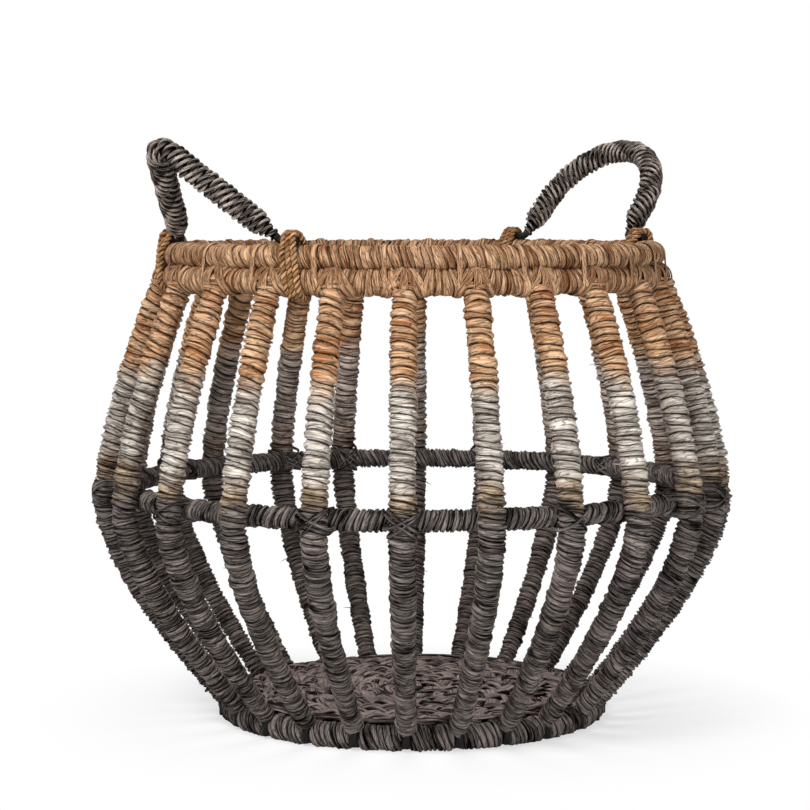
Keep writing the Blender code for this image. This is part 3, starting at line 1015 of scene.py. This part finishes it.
COIL_PITCH = 24 * MM
COIL_START = 3 * MM
COIL_EDGE = 13 * MM
COIL_EXTRA = 0.85
BRAID_DROP = 5.2 * MM
BRAID_LENGTH = 54 * MM
BRAID_HALF_WIDTH = 8.2 * MM
BRAID_LIFT = 1.7
LEAF_GAP = 3.6 * MM
LEAF_WANDER = 1.1
LEAF_SPANS = 1700
EDGE_STRIPS = 72
CORE_SIDES = 96
CORE_DROP = 6.8 * MM
CORE_OVERHANG = 3.5 * MM
# Half of the core's section from the middle to the edge: share of the radius, half thickness in mm
CORE_SECTION = ((0.2, 0.9), (0.5, 0.9), (0.8, 0.8), (0.97, 0.6), (1, 0))


def mat_coil():
    """Angle, distance from the axis and length along the coil from the middle to the ring."""
    edge = mat_high.x - COIL_EDGE
    turn = np.linspace(0, 1, 2900) ** 0.5 * (edge / COIL_PITCH + COIL_EXTRA) * math.tau
    out = np.minimum(COIL_START + turn / math.tau * COIL_PITCH, edge)
    length = running_sum(np.hypot(np.diff(out), out[1:] * np.diff(turn)))
    return turn, out, length


def make_mat():
    """A braid of three bundles of leaf strips, coiled from the middle of the base to its ring."""
    turn, out, length = mat_coil()
    build = Build()
    draw = np.random.default_rng(9).uniform
    crest = 0.3 + 0.7 * (1 - np.abs(np.sin(full_turn(8))) ** 3)
    for key, (strand, leaf) in enumerate(np.ndindex(3, 3)):
        phase = math.tau * (length / BRAID_LENGTH + strand / 3)
        heading = np.cos(phase)
        beside = (leaf - 1) * LEAF_GAP * (1 - 0.35 * np.abs(heading))
        beside = beside + LEAF_WANDER * MM * smooth_noise(length / (21 * MM), 40 + key)
        radial = np.maximum(out + BRAID_HALF_WIDTH * np.sin(phase) + beside, 1.5 * MM)
        lift = BRAID_LIFT * np.sin(2 * phase)
        lift = (lift + LEAF_WANDER * smooth_noise(length / (13 * MM), 60 + key)) * MM
        angle = turn - beside * heading * 0.8 / np.maximum(out, 12 * MM)
        points = turned(radial, mat_high.z - BRAID_DROP + lift, angle)
        width = 1 + 0.3 * smooth_noise(np.linspace(0, 270, LEAF_SPANS + 1), 50 + key)
        sweep(build, Path(points, (0, 0, 1)), ellipse(1 * MM, 3 * MM), LEAF_SPANS,
              tone=draw(0.15, 0.85), scale=width, crest=crest)
    for _ in range(EDGE_STRIPS):
        add_edge_strip(build, draw)
    finish_piece(build, "plaited_mat", "mat_weave", "base_mat")


def add_edge_strip(build, draw):
    """A long strip laid along the mat's edge."""
    turn = draw(0, math.tau) + np.linspace(0, draw(0.35, 0.8), 40)
    share = np.linspace(-1, 1, 40)
    drift = share * draw(-3.5, 3.5)
    out = mat_high.x - (4.5 + draw(-5.5, 5.5) + drift) * MM
    out = np.minimum(out, mat_high.x + 1.5 * MM)
    up = mat_high.z + (draw(-5, -2.4) * MM - 2 * MM * share ** 4)
    sweep(build, Path(turned(out, up, turn), (0, 0, 1)),
          ellipse(0.9 * MM, draw(1.6, 2.8) * MM), 30, tone=draw(0.1, 0.9),
          scale=1 - 0.8 * np.linspace(-1, 1, 31) ** 6, crest=(0.3, 0.7, 1, 0.7) * 2)


def make_mat_core():
    """The closed sheet inside the braid, which keeps the floor from showing through it and is
    painted dark as the shade between the strands.
    """
    build = Build()
    half = np.array(CORE_SECTION)
    section = np.vstack([half, half[-2::-1] * (1, -1)])
    out = section[:, 0] * (mat_high.x + CORE_OVERHANG)
    up = mat_high.z - CORE_DROP + section[:, 1] * MM
    points = turned(out, up, full_turn(CORE_SIDES)[:, None])
    # A crest of 0.15 paints the sheet almost black: painted shade between the braid's strands
    start = build.add_points(points.reshape(-1, 3), 0.15, 0.5)
    rows = len(out)
    row, step = np.indices((rows - 1, CORE_SIDES))
    here, after = step * rows + row, (step + 1) % CORE_SIDES * rows + row
    faces = np.stack([here, after, after + 1, here + 1], -1)
    build.add_faces(faces.reshape(-1, 4) + start, 0.3)
    for end in (0, rows - 1):
        loop = start + end + rows * np.arange(CORE_SIDES)
        build.add_faces([loop], 0.3)
    finish_piece(build, "mat_core", "mat_weave")


# Handles

def handle_line(side):
    """A handle's middle line: straight legs into a round top."""
    rise, top_share, lean = HANDLE_SHAPES[side]
    top = HANDLE_HALF_WIDTH * top_share
    centre = rise - top
    slope = math.atan2(HANDLE_BEND_RADIUS - centre, HANDLE_HALF_WIDTH)
    start = slope + math.acos(top / math.hypot(HANDLE_HALF_WIDTH, centre - HANDLE_BEND_RADIUS))
    turn = np.linspace(start, math.pi - start, 120)
    arch = np.stack([top * np.cos(turn), centre + top * np.sin(turn)], -1)
    first = (CORD_START - HANDLE_BEND_RADIUS) / (arch[0, 1] - HANDLE_BEND_RADIUS)
    share = np.linspace(first, 1, 40)[:-1, None]
    leg = (1 - share) * (HANDLE_HALF_WIDTH, HANDLE_BEND_RADIUS) + share * arch[0]
    line = np.vstack([leg, arch, leg[::-1] * (-1, 1)])
    facing = Matrix.Rotation(0 if side == "right" else math.pi, 4, "Z")
    place = Matrix.Translation(hinges[side]) @ facing @ Matrix.Rotation(lean, 4, "Y")
    points = [place @ Vector((0, y, z)) for y, z in line]
    return Path(points, place.to_3x3() @ Vector((1, 0, 0)))


def cord_size(path, distance, sizes):
    """The cord's reach from the rod or its half thickness, less at the feet to clear the rim."""
    foot = np.minimum(distance, path.length - distance) + CORD_START
    return np.interp(foot, CORD_MARKS, sizes)


def cord_helix(path, turns, seed):
    """The line of a cord wound round a handle."""
    turn = np.linspace(0, turns, turns * 30 + 1)
    shift = 0.6 * MM * smooth_noise(turn * 3, seed + 1) * np.clip(turns - turn, 0, 1)
    distance = np.clip(turn / turns * path.length + shift, 0, path.length)
    wander = 0.4 * MM * smooth_noise(turn * 4, seed + 2)
    radius = cord_size(path, distance, CORD_REACHES)
    radius = radius + wander * (radius / CORD_REACHES[-1]) ** 3
    return helix(path, distance, -math.tau * turn, radius)


def make_handles():
    """Each handle's iron rod wound with a twisted cord on a core that is painted dark as the shade
    between the cord's turns.
    """
    for index, side in enumerate(("left", "right")):
        path = handle_line(side)
        build = Build()
        turns = round(path.length / CORD_PITCH)
        spans = turns * 34
        half = cord_size(path, np.linspace(0, path.length, spans + 1), CORD_HALVES)
        twine(build, cord_helix(path, turns, 400 + 20 * index), half, CORD_LAY, spans, spread=0.5)
        reach = cord_size(path, np.linspace(0, path.length, 121), CORD_REACHES)
        # The core has no crest, so the material paints it almost black: painted shade between the
        # cord's turns
        sweep(build, path, ellipse(HANDLE_WRAP_HALF, HANDLE_WRAP_HALF, 16), 120, tone=0.1,
              scale=(reach - CORE_GAP) / HANDLE_WRAP_HALF, crest=0.0)
        finish_piece(build, f"{side}_handle_cord", "handle_cord", f"{side}_handle_wrap",
                     body=f"{side}_handle")
        rod = frame["nodes"][f"{side}_handle_rod"]
        rod.data.materials.clear()
        rod.data.materials.append(materials["black_iron"])


# Lashings

def rope_section(direction, toe_angle):
    """Where the rope's middle runs for one outward direction across the rings and the toe."""
    skew_share = math.cos(toe_angle)
    hinge = hinges["right"]
    toe = (hinge.x / skew_share, hinge.z, HANDLE_ROD_HALF / skew_share)
    out, up = math.cos(direction), math.sin(direction)
    centre_out, centre_up, radius = max((*RIM_CIRCLES, toe),
                                        key=lambda c: c[0] * out + c[1] * up + c[2])
    reach = radius + ROPE_GAP + ROPE_HALF
    return centre_out + out * reach, centre_up + up * reach


def rope_line(side_x, side_y, slant):
    """The rope's middle line and the direction along the rim at each of its points."""
    offset = HANDLE_HALF_WIDTH + HANDLE_BEND_RADIUS + ROPE_FIRST_OFFSET
    first_angle = math.atan2(offset, hinges["right"].x)
    top = rope_section(math.pi / 2, first_angle)[1]
    bottom = rope_section(-math.pi / 2, first_angle)[1]
    pitch_angle = ROPE_PITCH / rope_section(math.pi, first_angle)[0]
    points, sides = [], []
    for turns in np.linspace(0, LASHING_LOOPS, LASHING_LOOPS * 96 + 1):
        toe_angle = first_angle + pitch_angle * turns
        out, up = rope_section(math.pi + math.tau * turns, toe_angle)
        angle = toe_angle + slant * (top - up) / (top - bottom)
        points.append(turned(out, up, angle))
        sides.append(sideways(angle))
    mirror = (side_x, side_y, 1)
    return points * np.array(mirror), sides * np.array(mirror)


def make_lashings():
    """Twisted rope round both rim rings and the handles' toes."""
    for name, (side_x, side_y, slant) in LASHING_FEET.items():
        build = Build()
        twine(build, Path(*rope_line(side_x, side_y, slant)), ROPE_PLY_HALF, ROPE_LAY, 560, sides=8)
        finish_piece(build, f"rope_{name}", "tan_rope", f"lashing_{name}")


# Stray fibres

FIBRES_PER_RIB = 5
FIBRE_TAPER = (1, 0.9, 0.7, 0.5, 0.15)


def make_stray_fibres():
    """Short hairs that stand off the ribs."""
    out, up, half = rib_line()
    rng = np.random.default_rng(77)
    build = Build()
    for angle in rib_angles:
        for _ in range(FIBRES_PER_RIB):
            index = rng.integers(6, len(out) - 4)
            spread = rng.uniform(-2.2, 2.2)
            heading = turned(1, 0, angle) * math.cos(spread) + sideways(angle) * math.sin(spread)
            root = turned(out[index], up[index], angle) + heading * (half[index] - 0.6 * MM)
            bend = rng.normal(0, 1, 3)
            length = rng.uniform(3, 7) * MM
            points = [root + (heading * t * 0.7 + bend * t * t * 0.5) * length
                      for t in np.linspace(0, 1, 5)]
            sweep(build, Path(points, (0.3, 0.2, 0.9)), ellipse(0.45 * MM, 0.2 * MM, 4), 4,
                  tone=rng.uniform(0.3, 1), scale=FIBRE_TAPER)
    finish_piece(build, "stray_fibres", "rib_bark")


# Stage, light and camera

FLOOR_HALF = 6.0
FLOOR_GREY = 0.86
# The floor's white share rises from under the basket to beyond its shadow
WHITE_DISTANCES = (0.14, 0.32)
WHITE_SHARES = (0.6, 1.0)
WORLD_STRENGTH = 0.22
LAMP_TARGET = Vector((0, 0, 0.2))
to_camera = Vector((math.sin(CAMERA_AZIMUTH), -math.cos(CAMERA_AZIMUTH), 0))
to_right = Vector((math.cos(CAMERA_AZIMUTH), math.sin(CAMERA_AZIMUTH), 0))
upward = Vector((0, 0, 1))
# Place, size and power
LAMPS = {
    "key": (to_camera * 1.3 - to_right * 0.8 + upward * 1.5, 0.6, 33),
    "fill": (to_camera * 1.7 + to_right * 0.7 + upward * 0.45, 0.9, 16),
    "top": (upward * 1.9 - to_camera * 0.4, 1.2, 12),
}


def range_node(nodes, value, source, target):
    return nodes.node("MapRange", {
        "Value": value, "From Min": source[0], "From Max": source[1],
        "To Min": target[0], "To Max": target[1],
    })[0]


def make_stage():
    shader = Shader("floor", "MixShader")
    away = shader.node("VectorMath", {0: shader.place()}, operation="LENGTH")["Value"]
    fade = range_node(shader, away, WHITE_DISTANCES, WHITE_SHARES)
    plain = shader.node("BsdfDiffuse", {"Color": grey(FLOOR_GREY)})[0]
    white = shader.node("Emission", {"Color": grey(1.0), "Strength": 1.0})[0]
    build = Build()
    corners = ((-1, -1, 0), (1, -1, 0), (1, 1, 0), (-1, 1, 0))
    build.add_points(np.array(corners) * FLOOR_HALF, 1, 1)
    build.add_faces([[0, 1, 2, 3]], 1)
    floor = build.object("floor")
    share = shader.multiply(shader.seen(), fade)
    floor.data.materials.append(shader.finish({0: share, 1: plain, 2: white}))


def make_world():
    world = bpy.data.worlds.new("studio")
    bpy.context.scene.world = world
    world.use_nodes = True
    nodes = Nodes(world.node_tree)
    strength = range_node(nodes, nodes.seen(), (0, 1), (WORLD_STRENGTH, 1))
    nodes.fill(world.node_tree.nodes["Background"], {"Color": grey(1.0), "Strength": strength})


def make_lamps():
    for name, (place, size, power) in LAMPS.items():
        lamp = bpy.data.lights.new(name, "AREA")
        lamp.shape = "DISK"
        lamp.size = size
        lamp.energy = power
        item = add_object(name, lamp)
        item.location = place
        item.rotation_euler = (LAMP_TARGET - place).to_track_quat("-Z", "Y").to_euler()


def make_camera():
    data = bpy.data.cameras.new("camera")
    data.sensor_width = SENSOR_WIDTH
    data.lens = FOCAL_PIXELS / IMAGE_PIXELS * SENSOR_WIDTH
    data.shift_x = SHIFT_PIXELS / IMAGE_PIXELS
    camera = add_object("camera", data)
    camera.location = to_camera * CAMERA_DISTANCE + upward * CAMERA_HEIGHT
    camera.rotation_euler = (math.pi / 2 - CAMERA_PITCH, 0, CAMERA_AZIMUTH)
    bpy.context.scene.camera = camera


make_camera()
make_stage()
make_world()
make_lamps()
bpy.context.scene.view_settings.view_transform = "Standard"
materials = make_materials()
make_rings()
make_ribs()
make_rib_feet()
make_rim_ties()
make_head_strips()
make_crossings()
make_mat()
make_mat_core()
make_handles()
make_lashings()
make_stray_fibres()
